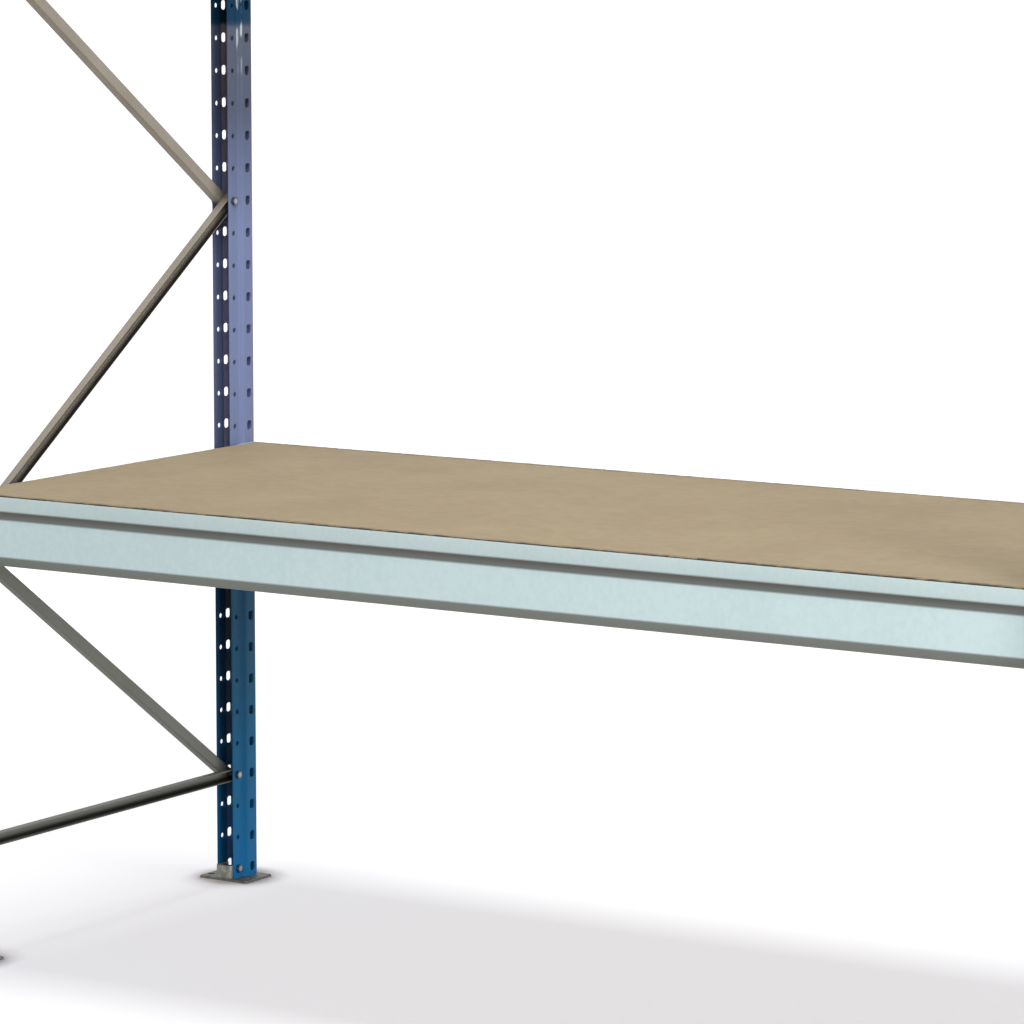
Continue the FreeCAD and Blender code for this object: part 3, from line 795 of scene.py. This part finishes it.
for corner, piece in plates.items():
    settle(piece, pale_coat, "pale_coat", "end_plate_" + corner)


# Lock pins: turned steel pins with a low round head, zinc plated, pushed through the end plates into
# the free slots below the hooks, so that the beams can't lift out.
PIN_HEAD = 7 * MM
PIN_HEAD_HEIGHT = 3 * MM
PIN_SHANK = 4 * MM
PIN_LENGTH = 11 * MM
PIN_DOME = 1.4 * MM

head_x = plate_high.x + PIN_HEAD_HEIGHT / 2
pin = add_rod("lock_pins_turned", (head_x, hook_y, row(PIN_ROW)), PIN_HEAD, PIN_HEAD_HEIGHT, flats=40)
shape(pin)
pick(pin, "EDGE", lambda middle, along: near(middle.x, plate_high.x + PIN_HEAD_HEIGHT))
bpy.ops.mesh.bevel(offset=PIN_DOME, segments=4)
done()
stem_x = plate_high.x + EASED - PIN_LENGTH / 2
stem = add_rod("pin_stem", (stem_x, hook_y, row(PIN_ROW)), PIN_SHANK, PIN_LENGTH, flats=28)
shape(stem)
pick(stem, "EDGE", lambda middle, along: near(middle.x, stem_x - PIN_LENGTH / 2))
bpy.ops.mesh.bevel(offset=CHAMFER, segments=2)
done()
combine(pin, stem, "UNION")
pins = join([
    pin,
    copy_of(pin, "pin_rear_right", TURNED),
    copy_of(pin, "pin_front_right", MIRROR_X),
    copy_of(pin, "pin_rear_left", MIRROR_Y),
])
settle(pins, zinc_plate, "zinc_plate", "lock_pins")


# Ties: two channels of galvanised strip, open below, under the board. Their top sheets reach onto the
# steps of the beams and carry the board between them.
TIE_SHEET = 1.5 * MM
TIE_BEND = 2.5 * MM
TIE_TONGUE = 25.3 * MM

tie_low, tie_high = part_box("deck_tie_left")
wall_end = tie_high.y - TIE_TONGUE
tie = add_block("deck_tie_channel_left", tie_low, tie_high)
shape(tie)
pick(tie, "FACE", lambda middle, normal: normal.z < -0.9 or abs(normal.y) > 0.9)
bpy.ops.mesh.delete(type="FACE")
for end in (-1, 1):
    bpy.ops.mesh.select_all(action="SELECT")
    bpy.ops.mesh.bisect(plane_co=(0, end * wall_end, 0), plane_no=(0, 1, 0))
pick(tie, "FACE", lambda middle, normal: abs(normal.x) > 0.9 and abs(middle.y) > wall_end)
bpy.ops.mesh.delete(type="FACE")
pick(tie, "EDGE", lambda middle, along: (
    abs(along.y) > 0.9 and near(middle.z, tie_high.z) and abs(middle.y) < wall_end))
bpy.ops.mesh.bevel(offset=TIE_BEND, segments=4)
done()
thicken(tie, TIE_SHEET)
other_tie = copy_of(tie, "deck_tie_channel_right", Matrix.Translation((-tie_low.x - tie_high.x, 0, 0)))
settle(tie, brace_zinc, "galvanised", "deck_tie_left")
settle(other_tie, brace_zinc, "galvanised", "deck_tie_right")


# Deck: one brown wood-fibre board, pressed and sawn to size, laid loose between the strips of the
# beams. Its sawn edges are a little ragged.
BOARD_EDGE = 0.6 * MM
RAGGED = 0.35 * MM
RIM = 4 * MM
LONG_EDGE_CUTS = (20, 20)
SHORT_EDGE_CUTS = (14, 12)
EDGE_SHADE_START = 18 * MM
EDGE_SHADE_FULL = 3 * MM

deck_low, deck_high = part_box("deck")
board = add_block("deck_board", deck_low, deck_high)
shape(board)
pick(board, "EDGE", lambda middle, along: near(middle.z, deck_high.z))
bpy.ops.mesh.bevel(offset=BOARD_EDGE, segments=2)
pick(board, "FACE", lambda middle, normal: normal.z > 0.99)
bpy.ops.mesh.inset(thickness=RIM)
for cuts in LONG_EDGE_CUTS:
    pick(board, "EDGE", lambda middle, along: abs(along.x) > 0.9)
    bpy.ops.mesh.subdivide(number_cuts=cuts)
for cuts in SHORT_EDGE_CUTS:
    pick(board, "EDGE", lambda middle, along: (
        abs(along.y) > 0.9 and abs(middle.x) > deck_high.x - 2 * RIM))
    bpy.ops.mesh.subdivide(number_cuts=cuts)
pick(board, "VERT", lambda corner: (
    near(corner.z, deck_high.z)
    and (abs(corner.y) > deck_high.y - 2 * BOARD_EDGE or abs(corner.x) > deck_high.x - 2 * BOARD_EDGE)))
bpy.ops.transform.vertex_random(offset=RAGGED, seed=7)
done()

# The face is mottled, with painted shade in patches along the beams, and the sawn edges are dark.
board_brown, surface, grid = new_finish("brown_board")
cloud = noise(grid, 6, 4)
tuft = noise(grid, 45, 3)
speck = noise(grid, 260, 3)
tone = level(cloud * 0.4 + tuft * 0.3 + speck * 0.3, 0.36, 0.64)
ruddy = level(noise(grid, 30, 3), 0.35, 0.65)
fibre = noise(grid, 1500, 2)
across = coordinate(unsigned(grid), "Y")
sawn = level(across, deck_high.y - 1.2 * BOARD_EDGE, deck_high.y - 0.6 * BOARD_EDGE)
chips = level(noise(grid, 60, 3), 0.3, 0.6)
face = blend(tone, blend(ruddy, paint(150, 136, 107), paint(154, 135, 110)), paint(162, 147, 118))
patchy = level(noise(grid, 14, 3), 0.32, 0.62)
edge_band = level(across, deck_high.y - EDGE_SHADE_START, deck_high.y - EDGE_SHADE_FULL)
# Painted shade along the beams, in patches.
edge_shade = edge_band * (0.2 + patchy * chips * 0.8)
shaded_face = blend(edge_shade, face, paint(60, 50, 40))
connect(grid.tree, surface, {
    "Base Color": blend(sawn * (0.55 + chips * 0.45), shaded_face, paint(58, 48, 38)),
    "Roughness": 0.62 + speck * 0.2,
    "Normal": bump(fibre + speck, 0.15, 0.0003),
    "Specular IOR Level": 0.3,
})
settle(board, board_brown, "board", "deck")


# Floor, light and camera: a plain white studio floor, soft lights in front on the right, at the right
# side, low in front and overhead, and the place from which the bay is seen.
FLOOR_SIZE = 240
FLOOR_GREY = (0.95, 0.95, 0.95, 1)
WHITE = (1, 1, 1, 1)
SHADE = (0.607, 0.6, 0.622, 1)
POOL_INNER = 1.8
POOL_OUTER = 4.5
CONTACT_REACH = 0.07
CONTACT_OPEN = 0.85
CONTACT_SHADE = (0.13, 0.1, 0.09, 1)
BOUNCE = (0.62, 0.54, 0.47, 1)
BOUNCE_STRENGTH = 0.2

bpy.ops.object.select_all(action="DESELECT")
bpy.ops.mesh.primitive_plane_add(size=FLOOR_SIZE, location=(0, 0, 0))
floor = bpy.context.active_object
floor.name = "studio_floor"
floor_white, surface, grid = new_finish("floor_white")


def seen_directly(tree):
    """1 for what the camera sees, also in a reflection, and 0 for light on its way to a surface."""
    path = tree.nodes.new("ShaderNodeLightPath")
    kinds = ("Is Camera Ray", "Is Glossy Ray", "Is Transmission Ray")
    camera_ray, glossy_ray, through_ray = [Wire(tree, path.outputs[kind]) for kind in kinds]
    return camera_ray + glossy_ray + through_ray


# The camera sees the floor glow: grey round the bay, white further off and dark close to the feet.
# Light that bounces meets a weaker, warm glow instead.
distance = grid.node("ShaderNodeVectorMath", {"operation": "LENGTH"}, {0: grid}, "Value")
pool = level(distance, POOL_INNER, POOL_OUTER)
shade = blend(pool, SHADE, WHITE)
open_round = grid.node("ShaderNodeAmbientOcclusion", {"samples": 12}, {"Distance": CONTACT_REACH}, "AO")
glow_colour = blend(level(open_round, CONTACT_OPEN, 1), CONTACT_SHADE, shade)
glow = grid.node("ShaderNodeEmission", {}, {"Color": glow_colour})
lit = grid.node("ShaderNodeBsdfDiffuse", {}, {"Color": FLOOR_GREY})
shown = grid.node("ShaderNodeAddShader", {}, {0: glow, 1: lit})
upward = grid.node("ShaderNodeEmission", {}, {"Color": BOUNCE, "Strength": BOUNCE_STRENGTH})
bounced = grid.node("ShaderNodeAddShader", {}, {0: upward, 1: lit})
floor_look = grid.node("ShaderNodeMixShader", {}, {0: seen_directly(grid.tree), 1: bounced, 2: shown})
output = grid.tree.nodes["Material Output"]
grid.tree.links.new(floor_look.socket, output.inputs["Surface"])
grid.tree.nodes.remove(surface)
floor.data.materials.append(floor_white)

world = bpy.data.worlds.new("studio")
world.use_nodes = True
bpy.context.scene.world = world
SKY = 0.2
tree = world.node_tree
strength = SKY + seen_directly(tree) * (1 - SKY)
connect(tree, tree.nodes["Background"], {"Color": WHITE, "Strength": strength})

# All lights but the overhead one leave the floor out, so only that one gives it a shadow.
bay_only = bpy.data.collections.new("bay_only")
bay_only.objects.link(floor)
bay_only.collection_objects[0].light_linking.link_state = "EXCLUDE"


def soft_light(name, place, target, width, height, power):
    """A flat soft light that faces a point."""
    lamp = bpy.data.lights.new(name, "AREA")
    lamp.shape = "RECTANGLE"
    lamp.size = width
    lamp.size_y = height
    lamp.energy = power
    holder = bpy.data.objects.new(name, lamp)
    bpy.context.collection.objects.link(holder)
    holder.location = place
    holder.rotation_euler = (Vector(target) - Vector(place)).to_track_quat("-Z", "Y").to_euler()
    return holder


front_light = soft_light(
    "front_light", place=(4.6, -5.3, 6), target=(0, 0, 0.6), width=5, height=3.6, power=540)
side_light = soft_light(
    "side_light", place=(4.5, -1.2, 0.8), target=(-0.9, 0.3, 0.5), width=1.4, height=0.8, power=85)
fill_light = soft_light(
    "fill_light", place=(2.4, -5, 1), target=(-0.9, 0.3, 0.7), width=2.4, height=1.2, power=30)
soft_light("overhead_light", place=(0, 0, 4.5), target=(0, 0, 0), width=3, height=1.2, power=75)
for holder in (front_light, side_light, fill_light):
    holder.light_linking.receiver_collection = bay_only

SENSOR_WIDTH = 36
LENS = 162.652
VIEW_FROM = (3.6726, -6.0175, 1.7082)
LOOK_DOWN = 7.7274
ROLL = -0.0376
TURN = 32.4757

camera = bpy.data.cameras.new("camera")
camera.sensor_width = SENSOR_WIDTH
camera.lens = LENS
viewer = bpy.data.objects.new("camera", camera)
bpy.context.collection.objects.link(viewer)
viewer.location = VIEW_FROM
viewer.rotation_euler = [math.radians(angle) for angle in (90 - LOOK_DOWN, ROLL, TURN)]
bpy.context.scene.camera = viewer
bpy.context.scene.view_settings.view_transform = "Standard"
